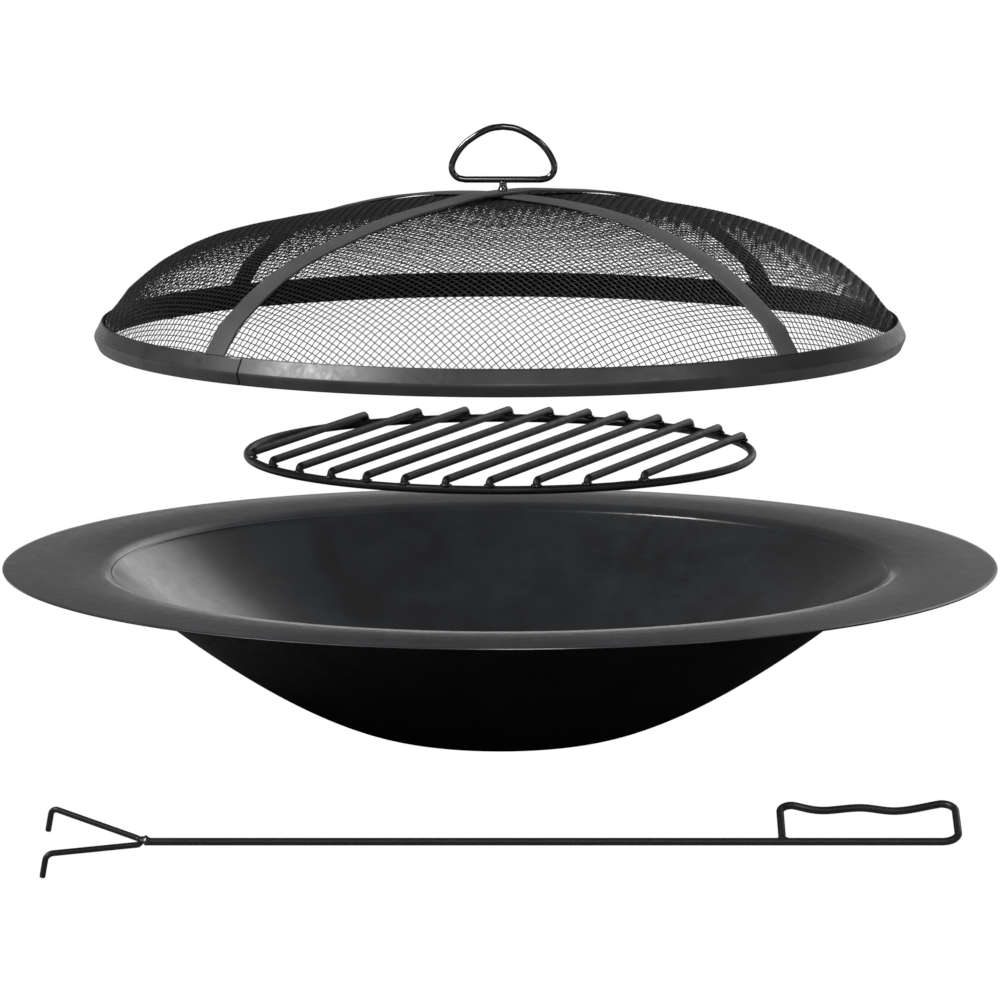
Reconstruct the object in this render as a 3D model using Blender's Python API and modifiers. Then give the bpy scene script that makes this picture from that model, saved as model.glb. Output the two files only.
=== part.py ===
"""Fire pit with grate: pressed steel bowl, cooking grate, domed spark screen and fork-ended poker.

Metres, +Z up. The origin is the centre of the bowl's flat bottom. The pieces stand apart along Z,
grate over bowl and spark screen over grate, with the poker lying in front of the bowl.
"""
import math

import bmesh
import bpy
from mathutils import Matrix, Vector

GAP = 0.0003            # clearance kept between pieces that touch or are welded

# Bowl: one steel pressing with a wide flat flange
BOWL_SHEET = 0.0016
BOWL_HEIGHT = 0.1313    # top of the flange above the flat bottom
FLANGE_RADIUS = 0.381
MOUTH_RADIUS = 0.304    # where the flange turns down into the dish
BASE_RADIUS = 0.085     # flat bottom
DISH_POWER = 1.46       # how quickly the wall steepens away from the flat bottom
DISH_EDGE = 0.2928      # the dish's curve ends here, just inside the mouth's bend
DISH_STEPS = 12
DISH_SPREAD = 1.25      # sets the profile points closer together towards the mouth
MOUTH_BEND = 0.024      # radius of the bend between dish and flange
MOUTH_BEND_STEPS = 4

# Grate: a ring of round bar with straight bars across its top
GRATE_Z = 0.2160        # ring centre above the origin
RING_RADIUS = 0.1931
RING_ROD = 0.0032
BAR_COUNT = 11
BAR_PITCH = 0.0316
BAR_ROD = 0.0030
BAR_RISE = 0.0070       # bar centre above the ring centre
BAR_TURN = -21.4        # degrees about Z from the +Y axis
BAR_BEND = 0.0032       # radius of the turned-down ends
RING_STEPS = 80

# Spark screen: heights are above the bottom edge of its rim
SCREEN_Z = 0.3000
RIM_SHEET = 0.0010
RIM_TOP = (0.3036, 0.0203)
RIM_FOLD = (0.3096, 0.0084)
RIM_BOTTOM = (0.3060, 0.0)
STRAP_TOP = 0.1149      # outer face of the lower strap at the crown
STRAP_FALL = 0.0941     # how far the strap's curve falls over DOME_RADIUS
DOME_RADIUS = 0.3120
DOME_POWER = 2.97
STRAP_WIDTH = 0.0200
STRAP_TURN = 46.5       # degrees from the X axis, one strap each way
STRAP_CURVE_END = 0.285                 # radius where the dome's curve gives way to the knee
STRAP_KNEE = (0.2965, 0.0316)
STRAP_LAP = (-0.0008, 0.006)            # where each foot starts and ends along the rim's upper face
STRAP_STEPS = 14
STRAP_SPREAD = 0.9
CROWN_X = 0.0023        # the straps cross slightly to one side of the rim's centre
STRAP_SHEET = 0.0020
STRAP_STEP = STRAP_SHEET + GAP          # the upper strap climbs over the lower one
STRAP_STEP_START = 0.018                # the climb ends this far from the crown
STRAP_STEP_RUN = 0.070                  # and takes this length
MESH_SHEET = 0.0004
MESH_DROP = 0.0034      # mesh outer face below the lower strap's outer face
MESH_HOLE_RADIUS = 0.0055
MESH_DOME_RADIUS = 0.284                # the mesh follows the straps out to here
MESH_SKIRT = ((0.2925, 0.0308), (0.2984, 0.0240), (0.3014, 0.0173))    # and then turns down
MESH_STEPS = 9
MESH_SPREAD = 0.8

# Lifting handle of the screen and its fixings
HANDLE_ROD = 0.0025
HANDLE_FOOT_HALF = 0.0285   # half length of the loop's straight foot
HANDLE_SIDE = ((0.0337, 0.0011), (0.0374, 0.0041), (0.0390, 0.0085), (0.0381, 0.0139), (0.0342, 0.0213),
               (0.0289, 0.0275), (0.0234, 0.0317), (0.0172, 0.0356), (0.0090, 0.0391))
HANDLE_HEIGHT = 0.0403      # between the rod's centre lines
STUD_COLLAR = (0.0042, 0.0029, 0.0056)   # foot radius, top radius, height
STUD_LAND = 0.0008      # upright edge of the collar's foot
STUD_RADIUS = 0.0025
STUD_BORE = STUD_RADIUS + GAP
STUD_TAIL = 0.0160      # length of the shank below the strap's top face
STUD_DRILL = 0.040      # length of the drill that cuts the straps and the nut
WASHER_RADIUS = 0.0110
WASHER_SHEET = 0.0012
NUT_RADIUS = 0.0046     # to the hexagon's corners
NUT_HEIGHT = 0.0040

# Poker: a rod bent back on itself as a grip, with a fork welded on
POKER_Y = -0.5140
POKER_Z = 0.0202
POKER_ROLL = 19.5       # degrees about X, the grip's far side up
POKER_ROD = 0.0027
SHAFT_START = -0.2446
GRIP_START = 0.1941
GRIP_END = 0.3157
GRIP_CORNERS = (0.0120, 0.0096, 0.0084)  # bend radii in the order they follow along the rod
GRIP_WAVES = ((0.2030, 0.0482), (0.2225, 0.0414), (0.2500, 0.0450), (0.2755, 0.0407), (0.3060, 0.0503))
FORK_ROD = 0.0021
FORK_APEX = -0.2470     # centre line of the fork where it meets the shaft
NOSE_SHOULDER = (-0.0015, 0.0037, 0)     # the V's rounded nose, measured from the apex
NOSE_END = (-0.0060, 0.0060, 0.0007)
TINE_BEND = (-0.3095, 0.0304, 0.0088)    # where each tine turns down
TINE_TIP = (-0.3128, 0.0304, -0.0097)
TINE_CORNER = 0.0050

TURN_STEPS = 72
ROUND_STEPS = 16


# ---------------------------------------------------------------- scene and helpers

for old in list(bpy.data.objects):
    bpy.data.objects.remove(old, do_unlink=True)

parts = bpy.data.collections.new("fire_pit_with_grate")
cutters = bpy.data.collections.new("cutters")
bpy.context.scene.collection.children.link(parts)
bpy.context.scene.collection.children.link(cutters)


def painted_steel(name, grey, roughness):
    """Material of one part: black heat-resistant paint of a given grey and gloss."""
    made = bpy.data.materials.new(name + "_paint")
    made.use_nodes = True
    shader = made.node_tree.nodes["Principled BSDF"]
    shader.inputs["Base Color"].default_value = (grey, grey, grey, 1)
    shader.inputs["Roughness"].default_value = roughness
    shader.inputs["Metallic"].default_value = 0.0
    return made


def add_part(name, data, parent=None, grey=0.02, roughness=0.5):
    """Link mesh or curve data as a named part with its own material."""
    part = bpy.data.objects.new(name, data)
    data.materials.append(painted_steel(name, grey, roughness))
    parts.objects.link(part)
    part.parent = parent
    return part


def slide_axis(name, location, roll=0.0):
    """Empty on the axis of a sliding joint; the moving pieces are its children."""
    axis = bpy.data.objects.new(name, None)
    axis.location = location
    axis.rotation_euler.x = math.radians(roll)
    parts.objects.link(axis)
    return axis


def smooth(mesh):
    """Smooth shading with edges over 35 degrees kept sharp."""
    mesh.shade_smooth()
    mesh.set_sharp_from_angle(angle=math.radians(35))


def turned(name, profile, parent=None, sheet=0.0, steps=TURN_STEPS, **look):
    """Turned part from (radius, height) points running down its outer side; sheet thickens inwards."""
    mesh = bpy.data.meshes.new(name)
    points = [(r, 0, z) for r, z in profile]
    mesh.from_pydata(points, [(i, i + 1) for i in range(len(points) - 1)], [])
    part = add_part(name, mesh, parent, **look)
    screw = part.modifiers.new("turn", "SCREW")
    screw.steps = steps
    screw.render_steps = steps
    screw.use_merge_vertices = True
    screw.merge_threshold = 0.00001
    screw.use_smooth_shade = True
    if sheet:
        thicken(part, sheet)
    return part


def thicken(part, sheet):
    """Give an open surface a sheet thickness on its inner side."""
    solid = part.modifiers.new("sheet", "SOLIDIFY")
    solid.thickness = sheet
    solid.offset = -1
    solid.use_even_offset = True


def cylinder_mesh(name, radius, depth, segments):
    """Mesh of a capped cylinder centred on the origin."""
    shape = bmesh.new()
    bmesh.ops.create_cone(shape, cap_ends=True, segments=segments, radius1=radius, radius2=radius,
                          depth=depth)
    mesh = bpy.data.meshes.new(name)
    shape.to_mesh(mesh)
    shape.free()
    return mesh


def rod(name, points, radius, parent=None, closed=False, sides=8, **look):
    """Round rod along a centre line, with flat ends unless it closes on itself."""
    curve = bpy.data.curves.new(name, "CURVE")
    curve.dimensions = "3D"
    curve.bevel_depth = radius
    curve.bevel_resolution = sides // 2 - 2
    curve.use_fill_caps = not closed
    line = curve.splines.new("POLY")
    line.points.add(len(points) - 1)
    for spot, point in zip(line.points, points):
        spot.co = (*point, 1)
    line.use_cyclic_u = closed
    return add_part(name, curve, parent, **look)


def corner(before, bend, after, radius, steps=5):
    """Points of a round bend of the given radius between two straight runs."""
    back = (Vector(before) - Vector(bend)).normalized()
    ahead = (Vector(after) - Vector(bend)).normalized()
    half = back.angle(ahead) / 2
    centre = Vector(bend) + (back + ahead).normalized() * radius / math.sin(half)
    start = Vector(bend) + back * radius / math.tan(half) - centre
    sweep = math.pi - 2 * half
    axis = back.cross(ahead).normalized()
    return [centre + Matrix.Rotation(-sweep * i / steps, 3, axis) @ start for i in range(steps + 1)]


def curve_through(points, steps=5):
    """Smooth Catmull-Rom curve through every given point."""
    ends = [2 * points[0] - points[1], *points, 2 * points[-1] - points[-2]]
    line = []
    for p, q, r, s in zip(ends, ends[1:], ends[2:], ends[3:]):
        for i in range(steps):
            t = i / steps
            line.append(q + (r - p) * t / 2 + (2 * p - 5 * q + 4 * r - s) * t * t / 2
                        + (3 * q - p - 3 * r + s) * t ** 3 / 2)
    return line + [points[-1]]


# ---------------------------------------------------------------- bowl

def dish_height(radius):
    """Underside of the dish: flat out to the base, then ever steeper up to the mouth."""
    run = (radius - BASE_RADIUS) / (MOUTH_RADIUS - BASE_RADIUS)
    return (BOWL_HEIGHT - BOWL_SHEET) * run ** DISH_POWER


def bowl():
    """Flange, rounded mouth, dish and flat bottom, drawn on the underside."""
    flange = BOWL_HEIGHT - BOWL_SHEET
    mouth = corner((FLANGE_RADIUS, 0, flange), (MOUTH_RADIUS, 0, flange),
                   (DISH_EDGE, 0, dish_height(DISH_EDGE)), MOUTH_BEND, MOUTH_BEND_STEPS)
    profile = [(FLANGE_RADIUS, flange)] + [(p.x, p.z) for p in mouth]
    for i in range(DISH_STEPS):
        radius = DISH_EDGE - (DISH_EDGE - BASE_RADIUS) * (i / DISH_STEPS) ** DISH_SPREAD
        profile.append((radius, dish_height(radius)))
    profile += [(BASE_RADIUS, 0), (0, 0)]
    turned("bowl", profile, sheet=BOWL_SHEET, grey=0.018, roughness=0.45)


bowl()


# ---------------------------------------------------------------- cooking grate

grate_axis = slide_axis("grate_lift_axis", (0, 0, GRATE_Z))


def grate_ring():
    """Round bar bent into a circle and closed on itself."""
    line = []
    for i in range(RING_STEPS):
        angle = 2 * math.pi * i / RING_STEPS
        line.append((RING_RADIUS * math.cos(angle), RING_RADIUS * math.sin(angle), 0))
    rod("grate_ring", line, RING_ROD, grate_axis, closed=True, grey=0.012, roughness=0.5)


def grate_bar(number):
    """Straight bar whose turned-down ends stand on top of the ring."""
    offset = (number - (BAR_COUNT + 1) / 2) * BAR_PITCH
    reach = math.sqrt(RING_RADIUS ** 2 - offset ** 2)
    front = corner((offset, -reach, 0), (offset, -reach, BAR_RISE), (offset, 0, BAR_RISE), BAR_BEND, 8)
    back = corner((offset, 0, BAR_RISE), (offset, reach, BAR_RISE), (offset, reach, 0), BAR_BEND, 8)
    bar = rod(f"grate_bar_{number:02d}", [*front, *back], BAR_ROD, grate_axis, grey=0.012, roughness=0.5)
    bar.rotation_euler.z = math.radians(BAR_TURN)


grate_ring()
for bar_number in range(1, BAR_COUNT + 1):
    grate_bar(bar_number)


# ---------------------------------------------------------------- spark screen

screen_axis = slide_axis("screen_lift_axis", (0, 0, SCREEN_Z))


def dome_height(radius):
    """Outer face of the lower strap above the rim's bottom edge."""
    return STRAP_TOP - STRAP_FALL * (radius / DOME_RADIUS) ** DOME_POWER


def screen_rim():
    """Folded band: a sloping upper face and a lower face tucked in."""
    turned("screen_rim", [RIM_TOP, RIM_FOLD, RIM_BOTTOM], screen_axis, sheet=RIM_SHEET,
           grey=0.015, roughness=0.45)


def screen_mesh():
    """Shell with the woven mesh's outline: hole for the stud at the crown, edge inside the rim."""
    profile = []
    for i in range(MESH_STEPS + 1):
        along = (i / MESH_STEPS) ** MESH_SPREAD
        radius = MESH_HOLE_RADIUS + (MESH_DOME_RADIUS - MESH_HOLE_RADIUS) * along
        profile.append((radius, dome_height(radius) - MESH_DROP))
    turned("screen_mesh", [*profile, *MESH_SKIRT], screen_axis, sheet=MESH_SHEET, steps=56,
           grey=0.01, roughness=0.6)


def strap_profile(step):
    """Half of a strap's outer face, from the crown out and down to its foot on the rim."""
    half = []
    for i in range(STRAP_STEPS + 1):
        radius = STRAP_CURVE_END * (i / STRAP_STEPS) ** STRAP_SPREAD
        climb = min(max(radius - STRAP_STEP_START, 0) / STRAP_STEP_RUN, 1)
        rise = step * (1 + math.cos(math.pi * climb)) / 2
        half.append(Vector((radius, dome_height(radius) + rise)))
    face = Vector((RIM_FOLD[0] - RIM_TOP[0], RIM_FOLD[1] - RIM_TOP[1])).normalized()
    on_rim = Vector(RIM_TOP) + Vector((-face.y, face.x)) * (STRAP_SHEET + GAP)
    return [*half, Vector(STRAP_KNEE), *(on_rim + face * lap for lap in STRAP_LAP)]


def screen_strap(name, turn, step):
    """Flat bar bent over the dome from rim to rim, drilled at the crown for the handle's stud."""
    half = strap_profile(step)
    line = [Vector((-p.x, p.y)) for p in reversed(half[1:])] + half
    shape = bmesh.new()
    edges = [[], []]
    for side, y in enumerate((-STRAP_WIDTH / 2, STRAP_WIDTH / 2)):
        for p in line:
            edges[side].append(shape.verts.new((p.x, y, p.y)))
    for i in range(len(line) - 1):
        shape.faces.new((edges[0][i], edges[0][i + 1], edges[1][i + 1], edges[1][i]))
    mesh = bpy.data.meshes.new(name)
    shape.to_mesh(mesh)
    shape.free()
    strap = add_part(name, mesh, screen_axis, grey=0.015, roughness=0.45)
    angle = math.radians(turn)
    strap.rotation_euler.z = angle
    strap.location.x = CROWN_X * math.sin(angle) ** 2
    strap.location.y = -CROWN_X * math.sin(angle) * math.cos(angle)
    thicken(strap, STRAP_SHEET)
    drill(strap)


def stud_drill_cutter():
    """Drill along the stud's axis, long enough for the straps and the nut."""
    mesh = cylinder_mesh("stud_drill", STUD_BORE, STUD_DRILL, ROUND_STEPS)
    cutter = bpy.data.objects.new("stud_drill", mesh)
    cutter.location = (CROWN_X, 0, SCREEN_Z + STRAP_TOP)
    cutters.objects.link(cutter)
    cutter.hide_render = True
    cutter.display_type = "WIRE"
    return cutter


def drill(part):
    """Cut the stud's hole through a part."""
    hole = part.modifiers.new("stud_hole", "BOOLEAN")
    hole.operation = "DIFFERENCE"
    hole.solver = "EXACT"
    hole.object = stud_drill


stud_drill = stud_drill_cutter()
screen_rim()
screen_mesh()
screen_strap("screen_strap_lower", -STRAP_TURN, 0)
screen_strap("screen_strap_upper", STRAP_TURN, STRAP_STEP)


# ---------------------------------------------------------------- lifting handle and its fixings

CROWN = STRAP_TOP + STRAP_STEP          # top face of the upper strap
HANDLE_FOOT = CROWN + 2 * GAP + STUD_COLLAR[2] + HANDLE_ROD


def screen_handle():
    """D-shaped loop standing on its straight side."""
    side = [Vector((x, 0, z)) for x, z in ((HANDLE_FOOT_HALF, 0), *HANDLE_SIDE, (0, HANDLE_HEIGHT))]
    half = curve_through(side, 3)
    line = half + [Vector((-p.x, 0, p.z)) for p in reversed(half[:-1])]
    loop = rod("screen_handle", line, HANDLE_ROD, screen_axis, closed=True, grey=0.006, roughness=0.12)
    loop.location = (CROWN_X, 0, HANDLE_FOOT)


def handle_stud():
    """Coned collar on top of the straps with a threaded shank through them."""
    foot, top, height = STUD_COLLAR
    base = CROWN + GAP
    tail = CROWN - STUD_TAIL
    profile = [(0, base + height), (top, base + height), (foot, base + STUD_LAND), (foot, base),
               (STUD_RADIUS, base), (STUD_RADIUS, tail), (0, tail)]
    stud = turned("handle_stud", profile, screen_axis, steps=ROUND_STEPS, grey=0.006, roughness=0.12)
    stud.location.x = CROWN_X


MESH_UNDERSIDE = STRAP_TOP - MESH_DROP - MESH_SHEET


def mesh_washer():
    """Wide washer that clamps the mesh up against the straps."""
    top = MESH_UNDERSIDE - GAP
    foot = top - WASHER_SHEET
    profile = [(STUD_BORE, top), (WASHER_RADIUS, top), (WASHER_RADIUS, foot), (STUD_BORE, foot),
               (STUD_BORE, top)]
    washer = turned("mesh_washer", profile, screen_axis, steps=ROUND_STEPS, grey=0.35, roughness=0.35)
    washer.location.x = CROWN_X


def stud_nut():
    """Hexagon nut under the washer."""
    top = MESH_UNDERSIDE - 2 * GAP - WASHER_SHEET
    mesh = cylinder_mesh("stud_nut", NUT_RADIUS, NUT_HEIGHT, 6)
    nut = add_part("stud_nut", mesh, screen_axis, grey=0.35, roughness=0.35)
    nut.location = (CROWN_X, 0, top - NUT_HEIGHT / 2)
    drill(nut)


screen_handle()
handle_stud()
mesh_washer()
stud_nut()


# ---------------------------------------------------------------- poker

poker_axis = slide_axis("poker_lift_axis", (0, POKER_Y, POKER_Z), POKER_ROLL)


def poker_rod():
    """Straight shaft, round the grip's far end and back along its waved side to the shaft."""
    near, far = GRIP_WAVES[0], GRIP_WAVES[-1]
    heel = corner((SHAFT_START, 0, 0), (GRIP_END, 0, 0), (GRIP_END, far[1], 0), GRIP_CORNERS[0])
    shoulder = corner((GRIP_END, 0, 0), (GRIP_END, far[1], 0), (GRIP_START, far[1], 0), GRIP_CORNERS[1])
    waves = curve_through([Vector((x, y, 0)) for x, y in reversed(GRIP_WAVES)])
    leg = corner((far[0], near[1], 0), (GRIP_START, near[1], 0), (GRIP_START, 0, 0), GRIP_CORNERS[2])
    line = [Vector((SHAFT_START, 0, 0)), *heel, *shoulder[:-1], *waves[:-1], *leg,
            Vector((GRIP_START, POKER_ROD + GAP, 0))]
    rod("poker_rod", line, POKER_ROD, poker_axis, grey=0.012, roughness=0.5)


def poker_fork():
    """V-bent rod whose tines rise a little and turn down at their ends."""
    nose = Vector((FORK_APEX, 0, 0))
    halves = []
    for side in (1, -1):
        bend = Vector((TINE_BEND[0], TINE_BEND[1] * side, TINE_BEND[2]))
        tip = Vector((TINE_TIP[0], TINE_TIP[1] * side, TINE_TIP[2]))
        shoulder = nose + Vector((NOSE_SHOULDER[0], NOSE_SHOULDER[1] * side, NOSE_SHOULDER[2]))
        start = nose + Vector((NOSE_END[0], NOSE_END[1] * side, NOSE_END[2]))
        halves.append([shoulder, start, *corner(start, bend, tip, TINE_CORNER), tip])
    line = [*reversed(halves[0]), nose, *halves[1]]
    rod("poker_fork", line, FORK_ROD, poker_axis, grey=0.012, roughness=0.5)


poker_rod()
poker_fork()

for part in parts.objects:
    if part.type == "MESH":
        smooth(part.data)
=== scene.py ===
"""Looks of the fire pit with grate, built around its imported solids.

Metres, +Z up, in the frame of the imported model: the origin is the centre of the bowl's flat bottom.
"""
import math

import bmesh
import bpy
from mathutils import Matrix, Vector, noise


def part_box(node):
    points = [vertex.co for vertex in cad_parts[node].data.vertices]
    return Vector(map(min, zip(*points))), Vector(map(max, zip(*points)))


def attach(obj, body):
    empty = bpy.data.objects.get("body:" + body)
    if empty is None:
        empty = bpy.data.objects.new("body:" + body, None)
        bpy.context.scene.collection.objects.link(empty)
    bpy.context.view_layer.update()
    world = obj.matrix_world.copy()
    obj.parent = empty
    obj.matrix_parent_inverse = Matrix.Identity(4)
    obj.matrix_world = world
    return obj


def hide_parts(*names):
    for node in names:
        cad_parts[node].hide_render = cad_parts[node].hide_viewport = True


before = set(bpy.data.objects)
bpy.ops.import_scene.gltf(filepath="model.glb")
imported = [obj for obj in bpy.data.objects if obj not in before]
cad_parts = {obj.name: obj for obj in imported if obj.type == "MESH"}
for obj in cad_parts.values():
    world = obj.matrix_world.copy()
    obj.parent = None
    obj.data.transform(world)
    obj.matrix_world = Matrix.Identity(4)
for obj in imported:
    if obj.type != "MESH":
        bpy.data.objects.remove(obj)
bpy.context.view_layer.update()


# ================================================================ bowl
# One pressing of 1.6 mm mild steel: a wide level flange that rolls over into a shallow dish with a
# flat bottom. The press ring leaves a fine raised line where the dish starts. Black stove paint, satin,
# cloudy where it was wiped and with a few specks of dust; the faces that look down are painted near
# black and matt, as painted shade.

BOWL_SHEET = 0.0016
FLANGE_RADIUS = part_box("bowl")[1].x
FLANGE_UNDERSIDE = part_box("bowl")[1].z - BOWL_SHEET
MOUTH_RADIUS = 0.304
BASE_RADIUS = 0.085
DISH_POWER = 1.46
DISH_EDGE = 0.2928                      # the dish's curve ends here, just inside the mouth's bend
DISH_STEP = 0.0045
DISH_RINGS = 46
MOUTH_BEND = 0.024                      # radius of the bend between dish and flange
MOUTH_STEPS = 14
FLANGE_STEP = 0.003
FLANGE_RINGS = 22
FLAT_STEPS = 5
PRESS_LINE = (0.2972, 0.0012, 0.0007)   # radius, half width and height of the raised line
# Rise of the flange by radius: it is crowned by 1.5 mm, and shades softly across its width.
CROWNING = ((0.312, 0.0), (0.3165, 0.00046), (0.323, 0.00096), (0.331, 0.00134), (0.342, 0.00150),
            (0.355, 0.00120), (0.381, 0.0))
BOWL_TURNS = 288

STOVE_BLACK = "#17181a"
STOVE_GREY = "#242629"
PAINTED_SHADE_BLACK = "#060606"
PAINTED_SHADE_GREY = "#0c0c0c"
DUST = "#8f8d88"


def linear(code):
    """Linear colour of an sRGB hex code."""
    parts = [int(code[i:i + 2], 16) / 255 for i in (1, 3, 5)]
    return (*(c / 12.92 if c <= 0.04045 else ((c + 0.055) / 1.055) ** 2.4 for c in parts), 1)


def add(tree, kind, sockets, **settings):
    """Add a shader node; each socket gets a value, or is linked to another node's output."""
    node = tree.nodes.new("ShaderNode" + kind)
    for name, value in settings.items():
        setattr(node, name, value)
    for name, value in sockets.items():
        if isinstance(value, bpy.types.NodeSocket):
            tree.links.new(value, node.inputs[name])
        else:
            node.inputs[name].default_value = value
    return node


def stove_paint(name, dark, light, gloss, cloud_mm, peel_mm, specks=0.0, specular=0.5, coat=0.0):
    """Black stove paint sprayed on bare steel, which dries satin with a faint orange peel.

    The colour drifts between two near blacks over cloud_mm, and the sheen with it. The peel is drawn
    about twice as coarse as the real one so that it shows.
    """
    paint = bpy.data.materials.new(name)
    paint.use_nodes = True
    tree = paint.node_tree
    shader = tree.nodes["Principled BSDF"]
    shader.inputs["Specular IOR Level"].default_value = specular
    shader.inputs["Coat Weight"].default_value = coat
    shader.inputs["Coat Roughness"].default_value = 0.14
    place = add(tree, "TexCoord", {}).outputs["Object"]
    clouds = add(tree, "TexNoise", {"Vector": place, "Scale": 1000 / cloud_mm, "Detail": 5.0,
                                    "Roughness": 0.55, "Distortion": 0.8}).outputs["Fac"]
    wiped = add(tree, "TexNoise", {"Vector": place, "Scale": 4000 / cloud_mm, "Detail": 3.0,
                                   "Distortion": 1.5}).outputs["Fac"]
    share = add(tree, "MapRange", {"Value": clouds, "From Min": 0.35, "From Max": 0.68}).outputs["Result"]
    colour = add(tree, "Mix", {"Factor": share, 6: linear(dark), 7: linear(light)},
                 data_type="RGBA").outputs[2]
    if specks:
        grain = add(tree, "TexVoronoi", {"Vector": place, "Scale": 1000 / 26}, feature="F1")
        dot = add(tree, "MapRange", {"Value": grain.outputs["Distance"], "From Min": 0.026,
                                     "From Max": 0.018}).outputs["Result"]
        few = add(tree, "SeparateXYZ", {"Vector": grain.outputs["Color"]}).outputs["X"]
        kept = add(tree, "Math", {0: few, 1: 1 - specks}, operation="GREATER_THAN").outputs["Value"]
        dusty = add(tree, "Math", {0: dot, 1: kept}, operation="MULTIPLY").outputs["Value"]
        colour = add(tree, "Mix", {"Factor": dusty, 6: colour, 7: linear(DUST)},
                     data_type="RGBA").outputs[2]
    tree.links.new(colour, shader.inputs["Base Color"])
    low, high = gloss
    sheen = add(tree, "MapRange", {"Value": wiped, "From Min": 0.3, "From Max": 0.7, "To Min": low,
                                   "To Max": high}).outputs["Result"]
    tree.links.new(sheen, shader.inputs["Roughness"])
    peel = add(tree, "TexNoise", {"Vector": place, "Scale": 1000 / peel_mm, "Detail": 2.0}).outputs["Fac"]
    relief = add(tree, "Bump", {"Height": peel, "Strength": 0.10, "Distance": peel_mm / 24000})
    tree.links.new(relief.outputs["Normal"], shader.inputs["Normal"])
    return paint


def arc(before, bend, after, radius, steps):
    """Points of a round bend between two straight runs."""
    back = (Vector(before) - Vector(bend)).normalized()
    ahead = (Vector(after) - Vector(bend)).normalized()
    half = back.angle(ahead) / 2
    centre = Vector(bend) + (back + ahead).normalized() * radius / math.sin(half)
    start = Vector(bend) + back * radius / math.tan(half) - centre
    axis = back.cross(ahead).normalized()
    sweep = math.pi - 2 * half
    return [centre + Matrix.Rotation(-sweep * i / steps, 3, axis) @ start for i in range(steps + 1)]


def beside(line, distance):
    """A section line moved to its left by a distance."""
    moved = []
    for i, point in enumerate(line):
        along = (line[min(i + 1, len(line) - 1)] - line[max(i - 1, 0)]).normalized()
        moved.append(point + Vector((-along.y, along.x)) * distance)
    return moved


def sheared_edge(a, b, steps=4):
    """Half round that closes the edge of a sheet from point a to point b."""
    centre = (a + b) / 2
    return [centre + Matrix.Rotation(math.pi * i / steps, 2) @ (a - centre) for i in range(1, steps)]


def around(steps):
    """Angles that divide a full turn evenly."""
    return [2 * math.pi * i / steps for i in range(steps)]


def spun(section, angles, looped):
    """Surface swept by turning a section of (radius, height) points about Z."""
    shape = bmesh.new()
    rings = []
    for angle in angles:
        rings.append([shape.verts.new((p.x * math.cos(angle), p.x * math.sin(angle), p.y))
                      for p in section])
    last = len(section) if looped else len(section) - 1
    for i in range(len(angles)):
        for j in range(last):
            k = (j + 1) % len(section)
            shape.faces.new((rings[i][j], rings[i - 1][j], rings[i - 1][k], rings[i][k]))
    bmesh.ops.remove_doubles(shape, verts=shape.verts, dist=0.000001)
    return shape


def show(name, shape, finish, body, nodes=(), crease=40):
    """Make a shown piece of a shape: smooth but for its creases, riding on a body."""
    bmesh.ops.recalc_face_normals(shape, faces=shape.faces)
    mesh = bpy.data.meshes.new(name)
    shape.to_mesh(mesh)
    shape.free()
    mesh.materials.append(finish)
    mesh.shade_smooth()
    mesh.set_sharp_from_angle(angle=math.radians(crease))
    made = bpy.data.objects.new(name, mesh)
    bpy.context.scene.collection.objects.link(made)
    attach(made, body)
    if nodes:
        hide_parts(*nodes)
    return made


def dish_underside(radius):
    """Height of the dish's underside: flat over the bottom, then ever steeper."""
    run = max(radius - BASE_RADIUS, 0) / (MOUTH_RADIUS - BASE_RADIUS)
    return FLANGE_UNDERSIDE * run ** DISH_POWER


def between(table, x):
    """Value read from a table of (x, value) steps with an even slope between them."""
    for (x0, v0), (x1, v1) in zip(table, table[1:]):
        if x <= x1:
            t = (x - x0) / (x1 - x0)
            return v0 + (v1 - v0) * t
    return table[-1][1]


def bowl_pressing():
    """Flange, rounded mouth, dish and flat bottom as one sheet, with the press ring's raised line."""
    mouth = arc((FLANGE_RADIUS, 0, FLANGE_UNDERSIDE), (MOUTH_RADIUS, 0, FLANGE_UNDERSIDE),
                (DISH_EDGE, 0, dish_underside(DISH_EDGE)), MOUTH_BEND, MOUTH_STEPS)
    dish = [Vector((r, dish_underside(r))) for r in (DISH_EDGE - i * DISH_STEP for i in range(DISH_RINGS))]
    flange = [Vector((FLANGE_RADIUS - BOWL_SHEET / 2 - i * FLANGE_STEP, FLANGE_UNDERSIDE))
              for i in range(FLANGE_RINGS)]
    flat = [Vector((BASE_RADIUS * (1 - i / FLAT_STEPS), 0)) for i in range(FLAT_STEPS + 1)]
    under = [*flange, *(Vector((p.x, p.z)) for p in mouth), *dish, *flat]
    for point in under:
        if point.x > CROWNING[0][0]:
            point.y += between(CROWNING, point.x)
    upper = beside(under, -BOWL_SHEET)
    upper[-1].x = 0
    ring, width, height = PRESS_LINE
    fine = [ring + width * (i / 4) for i in range(4, -5, -1)]
    before = [p for p in upper if p.x > fine[0]]
    after = [p for p in upper if p.x < fine[-1]]
    start, end = before[-1], after[0]
    line = []
    for r in fine:
        t = (start.x - r) / (start.x - end.x)
        lift = height * (1 + math.cos(math.pi * (r - ring) / width)) / 2
        line.append(Vector((r, start.y + (end.y - start.y) * t + lift)))
    upper = [*before, *line, *after]
    edge = reversed(sheared_edge(under[0], upper[0]))
    return spun([*reversed(upper), *edge, *under], around(BOWL_TURNS), False)


def paint_shade_on(piece, in_shade):
    """Paint the chosen faces near black and without sheen, as painted shade where they face down or inward.
    """
    piece.data.materials.append(painted_shade_paint)
    for face in piece.data.polygons:
        if in_shade(face):
            face.material_index = 1


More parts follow.
